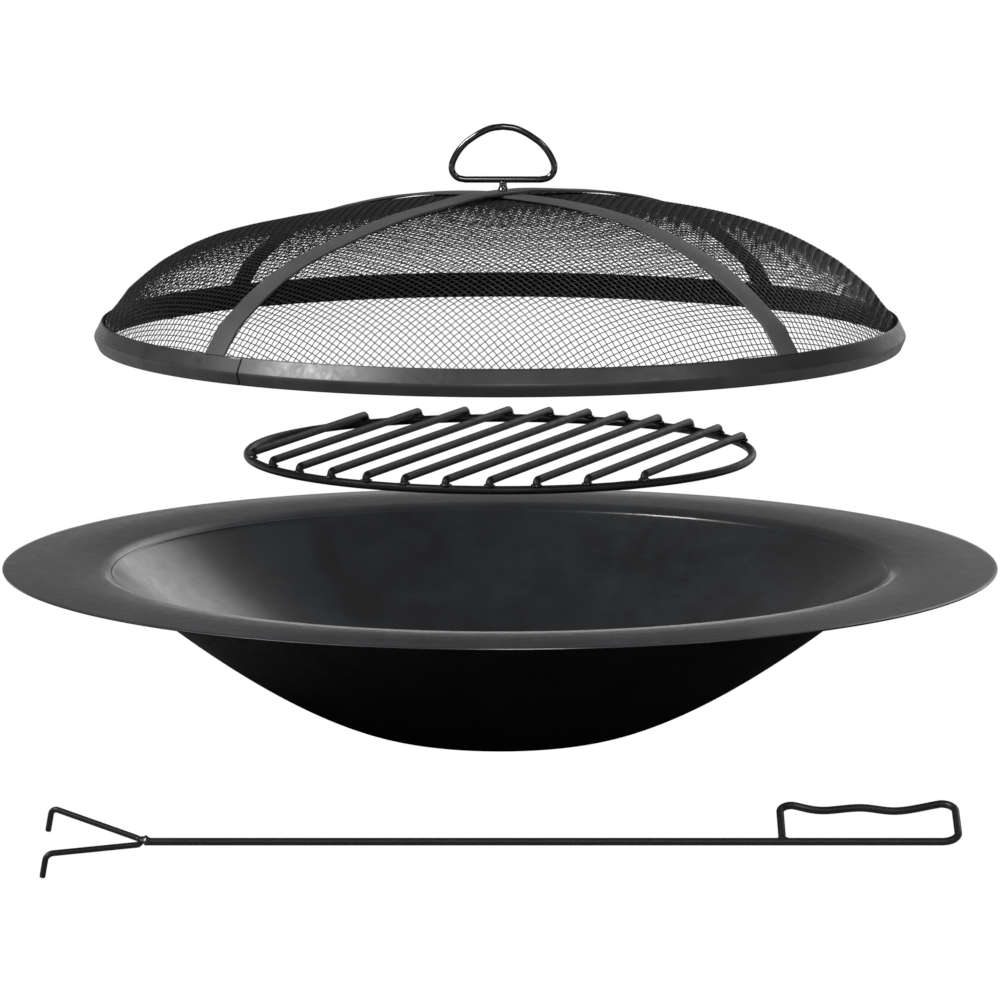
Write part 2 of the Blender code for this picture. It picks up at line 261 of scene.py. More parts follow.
bowl_paint = stove_paint("stove_paint_on_pressing", STOVE_BLACK, STOVE_GREY, (0.28, 0.38), 60, 2.4,
                         specks=0.02, coat=0.4)
# Near-black matt paint for faces turned down or inward: painted shade, darker and duller than the top coat.
painted_shade_paint = stove_paint("painted_shade_underside", PAINTED_SHADE_BLACK, PAINTED_SHADE_GREY, (0.55, 0.7), 60, 2.4,
                          specular=0.04)
pressing = show("bowl_pressing", bowl_pressing(), bowl_paint, "bowl_body", ["bowl"])
# The bowl's downward faces get the near-black matt paint: painted shade on the underside.
paint_shade_on(pressing, lambda face: face.normal.z < -0.2)


# ================================================================ cooking grate
# A hoop of 6.4 mm round bar with eleven 6 mm bars across it. Each bar's ends are bent down at a right
# angle and stand on the hoop, held by a small weld bead; the hoop is closed by a butt weld. Dipped in
# the same black stove paint, a little thinner and duller.

HOOP_ROD = 0.0032
HOOP_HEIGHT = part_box("grate_ring")[0].z + HOOP_ROD
HOOP_RADIUS = 0.1931
BAR_ROD = 0.0030
BAR_COUNT = 11
BAR_PITCH = 0.0316
BAR_RISE = 0.0070
BAR_BEND = 0.0034
BAR_TURN = math.radians(-21.4)
HOOP_WELD = math.radians(-61)           # direction of the hoop's butt weld, from +X
FOOT_BEAD = (0.0040, 0.0040, 0.0016)

GRATE_BLACK = "#0b0b0c"
GRATE_GREY = "#151516"


def run_bar(shape, path, radius, sides=14, closed=False, swell=None):
    """Add a round bar along a path; swell gives a factor on the radius at each point."""
    rings = []
    across = None
    count = len(path)
    for i, point in enumerate(path):
        before = path[i - 1] if closed or i else point
        after = path[(i + 1) % count] if closed or i < count - 1 else point
        along = (after - before).normalized()
        across = along.orthogonal() if across is None else across - along * across.dot(along)
        across.normalize()
        side = along.cross(across)
        thick = radius * (swell[i] if swell else 1)
        turn = [2 * math.pi * k / sides for k in range(sides)]
        rings.append([shape.verts.new(point + (across * math.cos(a) + side * math.sin(a)) * thick)
                      for a in turn])
    for i in range(count if closed else count - 1):
        a, b = rings[i], rings[(i + 1) % count]
        for k in range(sides):
            shape.faces.new((a[k], a[k - 1], b[k - 1], b[k]))
    if not closed:
        shape.faces.new(rings[0])
        shape.faces.new(list(reversed(rings[-1])))


def cropped(path, radius, depth=0.35):
    """Path and swell of a bar whose cropped ends are slightly domed."""
    head = (path[0] - path[1]).normalized() * radius
    tail = (path[-1] - path[-2]).normalized() * radius
    steps = ((1.0, 0.55), (0.93, 0.80), (0.72, 0.94))
    start = [path[0] + head * (depth * (s - 1)) for s, _ in steps]
    end = [path[-1] + tail * (depth * (s - 1)) for s, _ in reversed(steps)]
    inner = [path[0] - head * depth, *path[1:-1], path[-1] - tail * depth]
    sizes = [w for _, w in steps]
    return [*start, *inner, *end], [*sizes, *([1] * len(inner)), *reversed(sizes)]


def weld_bead(shape, place, size, turn=0.0):
    """Add a lumpy bead of weld metal: a flattened, rippled blob."""
    made = bmesh.ops.create_icosphere(shape, subdivisions=3, radius=1)
    for vert in made["verts"]:
        ripple = 1 + 0.10 * math.sin(9 * vert.co.x) + 0.22 * noise.noise(vert.co * 1.7 + place * 400)
        vert.co = Vector((vert.co.x * size[0], vert.co.y * size[1], vert.co.z * size[2])) * ripple
        vert.co = Matrix.Rotation(turn, 3, "Z") @ vert.co + place


def grate_hoop():
    """Round bar bent to a hoop, slightly swollen at its butt weld."""
    shape = bmesh.new()
    steps = 220
    path, swell = [], []
    for i in range(steps):
        angle = HOOP_WELD + 2 * math.pi * i / steps
        path.append(Vector((HOOP_RADIUS * math.cos(angle), HOOP_RADIUS * math.sin(angle), HOOP_HEIGHT)))
        near = min(i, steps - i)
        swell.append(1.07 if near == 0 else 1.03 if near == 1 else 1)
    run_bar(shape, path, HOOP_ROD, 18, True, swell)
    return shape


def grate_rod(number):
    """Bar and the two places where it stands on the hoop."""
    offset = (number - (BAR_COUNT + 1) / 2) * BAR_PITCH
    reach = math.sqrt(HOOP_RADIUS ** 2 - offset ** 2)
    foot = HOOP_ROD * 0.6
    front = arc((offset, -reach, foot), (offset, -reach, BAR_RISE), (offset, 0, BAR_RISE), BAR_BEND, 8)
    back = arc((offset, 0, BAR_RISE), (offset, reach, BAR_RISE), (offset, reach, foot), BAR_BEND, 8)
    middle = [Vector((offset, reach * t, BAR_RISE)) for t in (-0.5, 0, 0.5)]
    path = [Vector((offset, -reach, foot)), *front, *middle, *back, Vector((offset, reach, foot))]
    place = Matrix.Translation((0, 0, HOOP_HEIGHT)) @ Matrix.Rotation(BAR_TURN, 4, "Z")
    shape = bmesh.new()
    run_bar(shape, [place @ p for p in path], BAR_ROD, 16)
    feet = [place @ Vector((offset, side * reach, HOOP_ROD)) for side in (-1, 1)]
    return shape, feet


grate_paint = stove_paint("stove_paint_on_bar", GRATE_BLACK, GRATE_GREY, (0.36, 0.50), 30, 1.6,
                          specular=0.25)
weld_paint = stove_paint("stove_paint_on_weld", GRATE_BLACK, GRATE_GREY, (0.22, 0.34), 8, 1.2)
show("grate_hoop", grate_hoop(), grate_paint, "grate_body", ["grate_ring"], 60)
grate_welds = bmesh.new()
for number in range(1, BAR_COUNT + 1):
    rod_shape, feet = grate_rod(number)
    show(f"grate_rod_{number:02d}", rod_shape, grate_paint, "grate_body",
         [f"grate_bar_{number:02d}"], 60)
    for foot in feet:
        weld_bead(grate_welds, foot, FOOT_BEAD, number)
show("grate_welds", grate_welds, weld_paint, "grate_body", crease=60)


# ================================================================ spark screen: rim
# A band of 1 mm steel rolled to a hoop and folded along its middle, so that its upper face leans in
# under the mesh's edge and its lower face tucks in. Its ends meet in one butt weld that the satin
# black paint leaves visible.

RIM_SHEET = 0.0010
RIM_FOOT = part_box("screen_rim")[0].z
RIM_TOP = Vector((0.3036, 0.0203))
RIM_FOLD = Vector((0.3096, 0.0084))
RIM_BOTTOM = Vector((0.3060, 0.0))
RIM_FOLD_RADIUS = 0.0040
RIM_SEAM = math.radians(-128.0)         # direction of the butt weld, from +X
RIM_TURNS = 300
SEAM_HALF_WIDTH = 0.0010
SEAM_DEPTH = 0.0014

RIM_BLACK = "#1b1c1d"
RIM_GREY = "#28292a"


def rim_band():
    """Folded band with a narrow sunk line where its ends meet."""
    fold = arc((RIM_TOP.x, 0, RIM_TOP.y), (RIM_FOLD.x, 0, RIM_FOLD.y), (RIM_BOTTOM.x, 0, RIM_BOTTOM.y),
               RIM_FOLD_RADIUS, 10)
    upper = [RIM_TOP.lerp(RIM_FOLD, t) for t in (0.02, 0.14, 0.26, 0.38, 0.5, 0.62)]
    lower = [RIM_FOLD.lerp(RIM_BOTTOM, t) for t in (0.4, 0.55, 0.7, 0.85, 0.97)]
    face = [*upper, *(Vector((p.x, p.z)) for p in fold), *lower]
    back = beside(face, -RIM_SHEET)
    section = [*face, *reversed(sheared_edge(back[-1], face[-1])), *reversed(back),
               *reversed(sheared_edge(face[0], back[0]))]
    fine = SEAM_HALF_WIDTH / RIM_FOLD.x
    angles = [-fine, -0.4 * fine, 0.4 * fine, fine, *around(RIM_TURNS)[1:-1]]
    shape = spun(section, angles, True)
    turn = Matrix.Rotation(RIM_SEAM, 3, "Z")
    for vert in shape.verts:
        sideways = math.atan2(vert.co.y, vert.co.x) / fine
        if abs(sideways) < 1.1:
            ragged = noise.noise(Vector((0, 0, vert.co.z * 700))) * 0.0006
            inward = SEAM_DEPTH if abs(sideways) < 0.5 else 0
            vert.co += Vector((-inward, ragged, 0))
        vert.co = turn @ vert.co
        vert.co.z += RIM_FOOT
    return shape


screen_paint = stove_paint("stove_paint_on_sheet", RIM_BLACK, RIM_GREY, (0.34, 0.46), 40, 2.0)
band = show("rim_band", rim_band(), screen_paint, "screen_body", ["screen_rim"], 45)
# The rim's inward faces get the near-black matt paint: painted shade inside the band.
paint_shade_on(band, lambda face: face.normal.x * face.center.x + face.normal.y * face.center.y < -0.1)


# ================================================================ spark screen: woven mesh
# Plain-woven steel wire, 0.7 mm thick at 4.8 mm pitch. One flat sheet was drawn over the two straps
# from the crown outwards, so it sags beside the crown and bellies out between the straps lower down.
# Its edge is clamped inside the rim. Painted black, so that each wire carries a thin line of sheen.

STRAP_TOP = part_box("screen_strap_lower")[1].z - RIM_FOOT
STRAP_FALL = 0.0941
DOME_RADIUS = 0.3120
DOME_POWER = 2.97
STRAP_TURN = math.radians(46.5)
WIRE_ROD = 0.00035
WIRE_PITCH = 0.0048
WIRE_LAY = math.radians(39)             # direction of the warp, from +X
WIRE_SIDES = 6
MESH_DROP = 0.0034                      # mesh below the lower strap's outer face
MESH_DOME_RADIUS = 0.284                # the mesh follows the straps out to here, then turns down
MESH_SKIRT = ((0.2925, 0.0292), (0.2984, 0.0226), (0.3014, 0.0173))
# Rise of the mesh midway between two straps, by radius.
BELLY = ((0.0, 0.0), (0.03, 0.0), (0.06, -0.0005), (0.10, -0.0010), (0.14, 0.0005), (0.18, 0.0030),
         (0.22, 0.0050), (0.26, 0.0045), (0.285, 0.0005), (0.2984, 0.0), (0.31, 0.0))
# How far the dome is pressed down on its -X side, by radius.
DIP = ((0.0, 0.0), (0.03, 0.0004), (0.07, 0.0026), (0.104, 0.0045), (0.12, 0.0054), (0.137, 0.0062),
       (0.155, 0.0066), (0.18, 0.0060), (0.21, 0.0034), (0.24, 0.0008), (0.27, 0.0), (0.31, 0.0))

WIRE_BLACK = "#0b0b0c"
WIRE_GREY = "#171718"


def strap_face(radius):
    """Height of the lower strap's outer face above the rim's bottom edge."""
    return STRAP_TOP - STRAP_FALL * (radius / DOME_RADIUS) ** DOME_POWER


def dip(radius, x):
    """How far the dome has been pressed down, nearly all of it on one side."""
    return (1 - x / max(radius, 0.001)) / 2 * between(DIP, radius)


def mesh_section():
    """Tables of height and of run along the sheet from the crown, both by radius."""
    steps = 40
    radii = [MESH_DOME_RADIUS * i / steps for i in range(steps + 1)]
    heights = [*((r, strap_face(r) - MESH_DROP) for r in radii), *MESH_SKIRT]
    runs = [(0.0, 0.0)]
    for (r0, z0), (r1, z1) in zip(heights, heights[1:]):
        runs.append((runs[-1][0] + math.hypot(r1 - r0, z1 - z0), r1))
    return heights, runs


MESH_HEIGHTS, MESH_RUNS = mesh_section()
SHEET_RADIUS = MESH_RUNS[-1][0]


def mesh_surface(x, y):
    """Height of the mesh above the rim's bottom edge."""
    radius = math.hypot(x, y)
    from_x = math.atan2(abs(y), abs(x))
    if from_x < STRAP_TURN:
        gore = from_x / STRAP_TURN
    else:
        gore = (math.pi / 2 - from_x) / (math.pi / 2 - STRAP_TURN)
    full = math.cos(gore * math.pi / 2) ** 2
    return between(MESH_HEIGHTS, radius) + full * between(BELLY, radius) - dip(radius, x)


def wire_spot(across, run, offset_way, run_way, rise):
    """Centre of a wire and the sheet's normal there, from a place on the flat sheet."""
    flat = offset_way * across + run_way * run
    reach = flat.length
    spot = flat * (between(MESH_RUNS, reach) / max(reach, 0.0001))
    x, y = spot
    step = 0.0015
    slope_x = (mesh_surface(x + step, y) - mesh_surface(x - step, y)) / (2 * step)
    slope_y = (mesh_surface(x, y + step) - mesh_surface(x, y - step)) / (2 * step)
    normal = Vector((-slope_x, -slope_y, 1)).normalized()
    return Vector((x, y, mesh_surface(x, y) + RIM_FOOT)) + normal * rise, normal


def woven_wires(family):
    """All wires that run one way; the other family crosses them, over and under in turn."""
    verts, faces = [], []
    lay = WIRE_LAY + family * math.pi / 2
    along = Vector((math.cos(lay), math.sin(lay)))
    across = Vector((-along.y, along.x))
    count = int(SHEET_RADIUS / WIRE_PITCH)
    turns = [(math.cos(a), math.sin(a)) for a in around(WIRE_SIDES)]
    for number in range(-count, count):
        offset = (number + 0.5) * WIRE_PITCH
        reach = math.sqrt(SHEET_RADIUS ** 2 - offset ** 2)
        half = int(reach / WIRE_PITCH - 0.1)
        line = [wire_spot(offset, -reach, across, along, 0)]
        for crossing in range(-half, half):
            rise = WIRE_ROD if (number + crossing) % 2 else -WIRE_ROD
            line.append(wire_spot(offset, (crossing + 0.5) * WIRE_PITCH, across, along, rise))
        line.append(wire_spot(offset, reach, across, along, 0))
        first = len(verts)
        for i, (centre, normal) in enumerate(line):
            ahead = line[min(i + 1, len(line) - 1)][0] - line[max(i - 1, 0)][0]
            side = normal.cross(ahead).normalized()
            verts += [centre + (side * a + normal * b) * WIRE_ROD for a, b in turns]
        for base in range(first, len(verts) - WIRE_SIDES, WIRE_SIDES):
            for k in range(WIRE_SIDES):
                n = (k + 1) % WIRE_SIDES
                faces.append((base + n, base + k, base + WIRE_SIDES + k, base + WIRE_SIDES + n))
        faces.append(tuple(range(first, first + WIRE_SIDES)))
        faces.append(tuple(reversed(range(len(verts) - WIRE_SIDES, len(verts)))))
    return verts, faces


def show_wires(name, family, finish):
    """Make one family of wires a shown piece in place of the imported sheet."""
    verts, faces = woven_wires(family)
    mesh = bpy.data.meshes.new(name)
    mesh.from_pydata(verts, [], faces)
    mesh.materials.append(finish)
    mesh.shade_smooth()
    made = bpy.data.objects.new(name, mesh)
    bpy.context.scene.collection.objects.link(made)
    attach(made, "screen_body")
    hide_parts("screen_mesh")


wire_paint = stove_paint("stove_paint_on_wire", WIRE_BLACK, WIRE_GREY, (0.34, 0.48), 12, 1.5,
                         specular=0.42)
show_wires("mesh_warp_wires", 0, wire_paint)
show_wires("mesh_weft_wires", 1, wire_paint)


# ================================================================ spark screen: straps
# Two straps of 20 x 2 mm flat bar bent over the mesh from rim to rim. The upper one climbs over the
# lower one at the crown. Their feet are welded to the rim and dressed flush before painting. They look
# greyer and flatter than the rim, so their paint is given a lighter colour and little sheen.

STRAP_WIDTH = 0.0200
STRAP_SHEET = 0.0020
STRAP_EDGE = 0.0005                     # corner radius of the bar
STRAP_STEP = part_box("screen_strap_upper")[1].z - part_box("screen_strap_lower")[1].z
STRAP_STEP_START = 0.018
STRAP_STEP_RUN = 0.070
STRAP_CURVE_END = 0.270
STRAP_KNEE = (Vector((0.2812, 0.0454)), Vector((0.2895, 0.0386)), Vector((0.2965, 0.0302)))
STRAP_PROUD = 0.0004                    # the foot stands this far out of the rim's face
STRAP_TUCK = 0.0016                     # and its end turns in by this much
CROWN_X = 0.0023                        # the straps cross slightly to one side of the rim's centre

STRAP_BLACK = "#404040"
STRAP_GREY = "#4a4a4a"


def flowing(points, steps):
    """Even curve through every given point."""
    ends = [2 * points[0] - points[1], *points, 2 * points[-1] - points[-2]]
    line = []
    for p, q, r, s in zip(ends, ends[1:], ends[2:], ends[3:]):
        for i in range(steps):
            t = i / steps
            line.append(q + (r - p) * t / 2 + (2 * p - 5 * q + 4 * r - s) * t * t / 2
                        + (3 * q - p - 3 * r + s) * t ** 3 / 2)
    return [*line, points[-1]]


def strap_line(step):
    """Half of a strap's outer face from the crown down to its foot in the rim."""
    half = []
    steps = 60
    for i in range(steps + 1):
        radius = STRAP_CURVE_END * i / steps
        climb = min(max(radius - STRAP_STEP_START, 0) / STRAP_STEP_RUN, 1)
        half.append(Vector((radius, strap_face(radius) + step * (1 + math.cos(math.pi * climb)) / 2)))
    face = (RIM_FOLD - RIM_TOP).normalized()
    proud = Vector((-face.y, face.x)) * STRAP_PROUD
    foot = RIM_TOP + face * STRAP_PROUD + proud
    knee = flowing([half[-3], *STRAP_KNEE, foot], 5)
    return [*half[:-3], *knee, foot + face * STRAP_TUCK - proud * 6]


def strap_bar(turn, step):
    """Flat bar with rounded edges, its ends sunk into the rim."""
    half = strap_line(step)
    lean = math.cos(turn)
    line = [Vector((-p.x, p.y - dip(p.x, -p.x * lean))) for p in reversed(half[1:])]
    line += [Vector((p.x, p.y - dip(p.x, p.x * lean))) for p in half]
    shape = bmesh.new()
    crossing = Matrix.Translation((CROWN_X * math.sin(turn) ** 2,
                                   -CROWN_X * math.sin(turn) * math.cos(turn), RIM_FOOT))
    place = crossing @ Matrix.Rotation(turn, 4, "Z")
    wide, deep, edge = STRAP_WIDTH / 2, STRAP_SHEET, STRAP_EDGE
    section = []
    for corner_y, corner_z, start in ((wide - edge, -edge, 0), (-wide + edge, -edge, 90),
                                      (-wide + edge, -deep + edge, 180), (wide - edge, -deep + edge, 270)):
        for k in range(4):
            a = math.radians(start + 30 * k)
            section.append((corner_y + edge * math.cos(a), corner_z + edge * math.sin(a)))
    rings = []
    for i, point in enumerate(line):
        along = (line[min(i + 1, len(line) - 1)] - line[max(i - 1, 0)]).normalized()
        up = Vector((-along.y, along.x))
        rings.append([shape.verts.new(place @ Vector((point.x + up.x * z, y, point.y + up.y * z)))
                      for y, z in section])
    for a, b in zip(rings, rings[1:]):
        for k in range(len(section)):
            shape.faces.new((a[k], a[k - 1], b[k - 1], b[k]))
    shape.faces.new(rings[0])
    shape.faces.new(list(reversed(rings[-1])))
    return shape


strap_paint = stove_paint("stove_paint_on_strap", STRAP_BLACK, STRAP_GREY, (0.40, 0.50), 40, 2.0,
                          specular=0.12)
for name, turn, step, node in (("strap_lower_bar", -STRAP_TURN, 0, "screen_strap_lower"),
                               ("strap_upper_bar", STRAP_TURN, STRAP_STEP, "screen_strap_upper")):
    bar = show(name, strap_bar(turn, step), strap_paint, "screen_body", [node], 50)
    # The straps' downward faces get the near-black matt paint: painted shade under the bars.
    paint_shade_on(bar, lambda face: face.normal.z < -0.3)


# ================================================================ spark screen: lifting loop
# A D-shaped loop of 5 mm round bar, closed by its weld to a coned stud that passes through both straps
# and the mesh. Powder coated gloss black, so it mirrors the lights in thin white lines.

LOOP_ROD = 0.0025
# Half of the loop's centre line, from the end of its straight foot up towards the top.
LOOP_SIDE = ((0.0285, 0), (0.0337, 0.0011), (0.0374, 0.0041), (0.0390, 0.0085), (0.0381, 0.0139),
             (0.0342, 0.0213), (0.0289, 0.0275), (0.0234, 0.0317), (0.0172, 0.0356), (0.0090, 0.0391))
LOOP_HEIGHT = 0.0403
LOOP_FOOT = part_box("screen_handle")[0].z + LOOP_ROD
STRAP_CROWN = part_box("screen_strap_upper")[1].z
STUD_LOW, STUD_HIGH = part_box("handle_stud")
STUD_RADIUS = 0.0025
COLLAR_FOOT = 0.0042
COLLAR_TOP = 0.0029

GLOSS_BLACK = "#030304"
GLOSS_SHADE = "#08080a"


def gloss_coat(name):
    """Gloss black powder coat: deep black under a hard, smooth and slightly wavy skin."""
    coat = bpy.data.materials.new(name)
    coat.use_nodes = True
    tree = coat.node_tree
    shader = tree.nodes["Principled BSDF"]
    shader.inputs["Coat Weight"].default_value = 0.8
    shader.inputs["Coat Roughness"].default_value = 0.04
    place = add(tree, "TexCoord", {}).outputs["Object"]
    flow = add(tree, "TexNoise", {"Vector": place, "Scale": 1000 / 3.0, "Detail": 1.0}).outputs["Fac"]
    colour = add(tree, "Mix", {"Factor": flow, 6: linear(GLOSS_BLACK), 7: linear(GLOSS_SHADE)},
                 data_type="RGBA").outputs[2]
    tree.links.new(colour, shader.inputs["Base Color"])
    sheen = add(tree, "MapRange", {"Value": flow, "To Min": 0.10, "To Max": 0.20}).outputs["Result"]
    tree.links.new(sheen, shader.inputs["Roughness"])
    skin = add(tree, "Bump", {"Height": flow, "Strength": 0.05, "Distance": 0.0002})
    tree.links.new(skin.outputs["Normal"], shader.inputs["Normal"])
    return coat


def lifting_loop():
    """Round bar bent to a D, its straight foot lying on the stud."""
    side = flowing([Vector((x, z)) for x, z in (*LOOP_SIDE, (0, LOOP_HEIGHT))], 6)
    line = [*side, *(Vector((-p.x, p.y)) for p in reversed(side[:-1]))]
    shape = bmesh.new()
    run_bar(shape, [Vector((p.x + CROWN_X, 0, p.y + LOOP_FOOT)) for p in line], LOOP_ROD, 20, True)
    return shape


def loop_stud():
    """Coned collar, welded neck and threaded shank, turned from one bar."""
    collar = STUD_HIGH.z
    base = STRAP_CROWN + 0.0003
    section = [Vector((0, collar + 0.0022)), Vector((0.0018, collar + 0.0021)),
               Vector((COLLAR_TOP - 0.0002, collar + 0.0012)), Vector((COLLAR_TOP, collar + 0.0004)),
               Vector((COLLAR_TOP, collar - 0.0012)), Vector((COLLAR_TOP + 0.0001, collar - 0.0022)),
               Vector((COLLAR_TOP + 0.0005, base + 0.0024)), Vector((COLLAR_FOOT - 0.0003, base + 0.0012)),
               Vector((COLLAR_FOOT, base + 0.0008)), Vector((COLLAR_FOOT, base + 0.0001)),
               Vector((COLLAR_FOOT - 0.0002, base)), Vector((STUD_RADIUS, base))]
    thread = base - 0.0005
    while thread > STUD_LOW.z + 0.001:
        section += [Vector((STUD_RADIUS, thread)), Vector((STUD_RADIUS - 0.0003, thread - 0.0004))]
        thread -= 0.0008
    section += [Vector((STUD_RADIUS - 0.0004, STUD_LOW.z)), Vector((0, STUD_LOW.z))]
    shape = spun(section, around(40), False)
    bmesh.ops.translate(shape, verts=shape.verts, vec=(CROWN_X, 0, 0))
    return shape


gloss = gloss_coat("gloss_powder_coat")
show("lifting_loop", lifting_loop(), gloss, "screen_body", ["screen_handle"], 60)
show("loop_stud", loop_stud(), gloss, "screen_body", ["handle_stud"], 50)


# ================================================================ spark screen: washer and nut
# A wide pressed washer and a hexagon nut draw the mesh up against the straps from below. Both are
# bright zinc plated, with the fine grey cloudiness that plating has.

WASHER_LOW, WASHER_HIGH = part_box("mesh_washer")
NUT_LOW, NUT_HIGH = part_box("stud_nut")
WASHER_RADIUS = (WASHER_HIGH.y - WASHER_LOW.y) / 2
THREAD_CLEARANCE = 0.0002

ZINC = "#b9bcc0"
ZINC_DULL = "#8d9094"


def zinc_plate(name):
    """Bright zinc plate: a metal, mid grey and slightly cloudy."""
    plate = bpy.data.materials.new(name)
    plate.use_nodes = True
    tree = plate.node_tree
    shader = tree.nodes["Principled BSDF"]
    shader.inputs["Metallic"].default_value = 1.0
    place = add(tree, "TexCoord", {}).outputs["Object"]
    cloud = add(tree, "TexNoise", {"Vector": place, "Scale": 1000 / 3.0, "Detail": 4.0}).outputs["Fac"]
    colour = add(tree, "Mix", {"Factor": cloud, 6: linear(ZINC), 7: linear(ZINC_DULL)},
                 data_type="RGBA").outputs[2]
    tree.links.new(colour, shader.inputs["Base Color"])
    sheen = add(tree, "MapRange", {"Value": cloud, "To Min": 0.25, "To Max": 0.42}).outputs["Result"]
    tree.links.new(sheen, shader.inputs["Roughness"])
    return plate


def clamp_washer():
    """Washer with a rounded outer edge from the press."""
    low, high = WASHER_LOW.z, WASHER_HIGH.z
    bore = STUD_RADIUS + THREAD_CLEARANCE
    section = [Vector((bore, high)), Vector((WASHER_RADIUS - 0.0005, high)),
               Vector((WASHER_RADIUS - 0.0001, high - 0.0002)), Vector((WASHER_RADIUS, high - 0.0006)),
               Vector((WASHER_RADIUS, low)), Vector((bore, low))]
    shape = spun(section, around(48), True)
    bmesh.ops.translate(shape, verts=shape.verts, vec=(CROWN_X, 0, 0))
    return shape


def clamp_nut():
    """Hexagon nut, chamfered at its corners, bored for the stud."""
    low, high = NUT_LOW.z, NUT_HIGH.z
    half_flat = (NUT_HIGH.y - NUT_LOW.y) / 2 * math.cos(math.pi / 6)
    bore = STUD_RADIUS + THREAD_CLEARANCE
    shape = bmesh.new()
    rings = []
    steps = 48
    for z, limit in ((low, half_flat), (low + 0.0004, 1), (high - 0.0004, 1), (high, half_flat)):
        ring = []
        for i in range(steps):
            angle = 2 * math.pi * i / steps
            in_face = (angle + math.pi / 6) % (math.pi / 3) - math.pi / 6
            radius = min(half_flat / math.cos(in_face), limit)
            ring.append(shape.verts.new((CROWN_X + radius * math.cos(angle), radius * math.sin(angle), z)))
        rings.append(ring)
    for z in (high, low):
        rings.append([shape.verts.new((CROWN_X + bore * math.cos(a), bore * math.sin(a), z))
                      for a in around(steps)])
    for a, b in zip(rings, [*rings[1:], rings[0]]):
        for i in range(steps):
            shape.faces.new((a[i - 1], a[i], b[i], b[i - 1]))
    return shape


zinc = zinc_plate("zinc_plate")
show("clamp_washer", clamp_washer(), zinc, "screen_body", ["mesh_washer"], 35)
show("clamp_nut", clamp_nut(), zinc, "screen_body", ["stud_nut"], 25)


# ================================================================ poker
# One 5.4 mm round bar: a straight shaft, bent back at its end into a flat grip with a waved finger
# side whose end is welded to the shaft. A V of thinner bar with turned-down prongs is welded to the
# other end. Black stove paint.

POKER_Y = -0.5140
POKER_Z = 0.0202
POKER_ROLL = math.radians(19.5)
POKER_ROD = 0.0027
SHAFT_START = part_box("poker_rod")[0].x
SHAFT_RUN = 0.43                        # straight part of the shaft, up to the grip
GRIP_START = 0.1941
GRIP_END = 0.3157
GRIP_CORNERS = (0.0120, 0.0096, 0.0084)
GRIP_WAVES = ((0.2030, 0.0482), (0.2225, 0.0414), (0.2500, 0.0450), (0.2755, 0.0407), (0.3060, 0.0503))
PRONG_ROD = 0.0021
PRONG_APEX = -0.2470
NOSE_SHOULDER = Vector((-0.0015, 0.0037, 0))
NOSE_END = Vector((-0.0060, 0.0060, 0.0007))
PRONG_BEND = Vector((-0.3095, 0.0304, 0.0088))
PRONG_TIP = Vector((-0.3128, 0.0304, -0.0097))
PRONG_CORNER = 0.0050
NOSE_BEAD = (0.0042, 0.0036, 0.0030)
GRIP_BEAD = (0.0040, 0.0022, 0.0028)

poker_place = Matrix.Translation((0, POKER_Y, POKER_Z)) @ Matrix.Rotation(POKER_ROLL, 4, "X")


def poker_shaft():
    """Shaft, heel, waved finger side and closing leg of the grip, bent from one bar."""
    near, far = GRIP_WAVES[0], GRIP_WAVES[-1]
    heel = arc((SHAFT_START, 0, 0), (GRIP_END, 0, 0), (GRIP_END, far[1], 0), GRIP_CORNERS[0], 12)
    shoulder = arc((GRIP_END, 0, 0), (GRIP_END, far[1], 0), (GRIP_START, far[1], 0), GRIP_CORNERS[1], 10)
    waves = flowing([Vector((x, y, 0)) for x, y in reversed(GRIP_WAVES)], 12)
    leg = arc((far[0], near[1], 0), (GRIP_START, near[1], 0), (GRIP_START, 0, 0), GRIP_CORNERS[2], 10)
    shaft = [Vector((SHAFT_START + SHAFT_RUN * i / 8, 0, 0)) for i in range(9)]
    path = [*shaft, *heel, *shoulder[:-1], *waves[:-1], *leg, Vector((GRIP_START, POKER_ROD * 0.5, 0))]
    path, swell = cropped(path, POKER_ROD)
    shape = bmesh.new()
    run_bar(shape, [poker_place @ p for p in path], POKER_ROD, 16, swell=swell)
    return shape


def poker_prongs():
    """V of thinner bar with a rounded nose, each prong turned down at its end."""
    apex = Vector((PRONG_APEX, 0, 0))
    halves = []
    for side in (1, -1):
        mirror = Matrix.Diagonal((1, side, 1))
        bend, tip = mirror @ PRONG_BEND, mirror @ PRONG_TIP
        shoulder, start = apex + mirror @ NOSE_SHOULDER, apex + mirror @ NOSE_END
        halves.append([shoulder, start, start.lerp(bend, 0.5), *arc(start, bend, tip, PRONG_CORNER, 8), tip])
    line = flowing([halves[0][1], halves[0][0], apex, halves[1][0], halves[1][1]], 5)
    path, swell = cropped([*reversed(halves[0][2:]), *line, *halves[1][2:]], PRONG_ROD)
    shape = bmesh.new()
    run_bar(shape, [poker_place @ p for p in path], PRONG_ROD, 14, swell=swell)
    return shape


show("poker_shaft", poker_shaft(), grate_paint, "poker_body", ["poker_rod"], 60)
show("poker_prongs", poker_prongs(), grate_paint, "poker_body", ["poker_fork"], 60)
poker_welds = bmesh.new()
weld_bead(poker_welds, poker_place @ Vector((SHAFT_START + 0.0005, 0, 0.0012)), NOSE_BEAD)
weld_bead(poker_welds, poker_place @ Vector((GRIP_START, POKER_ROD * 0.9, 0)), GRIP_BEAD)
show("poker_welds", poker_welds, weld_paint, "poker_body", crease=60)


# ================================================================ studio
# A plain pale floor, soft lights and a long-lens camera a little above the flange. The floor looks
# evenly white to the camera, without shadows, and lights the pieces as a pale matt card does.

